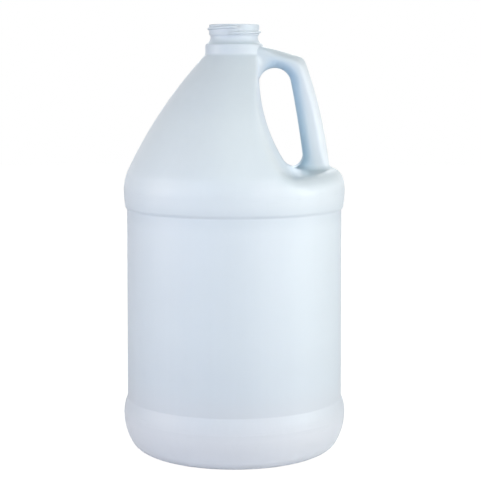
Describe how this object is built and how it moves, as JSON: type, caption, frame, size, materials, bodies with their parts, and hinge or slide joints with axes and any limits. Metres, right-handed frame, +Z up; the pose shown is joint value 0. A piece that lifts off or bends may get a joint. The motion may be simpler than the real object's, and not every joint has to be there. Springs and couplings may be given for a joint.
{
  "type": "plastic gallon bottle",
  "caption": "Round blow-moulded one-gallon bottle with a threaded neck and a hollow side grip handle, shown without its cap.",
  "frame": {"origin": "middle of the base, on the surface the bottle stands on", "axes": "+Z up along the neck axis to the mouth, +X towards the grip handle, Y across the mould parting plane"},
  "size_m": [0.1594, 0.1594, 0.303],
  "materials": {
    "natural_hdpe": "natural translucent high-density polyethylene, satin from the mould"
  },
  "bodies": {
    "root": {"bottle": "natural_hdpe"}
  },
  "joints": []
}
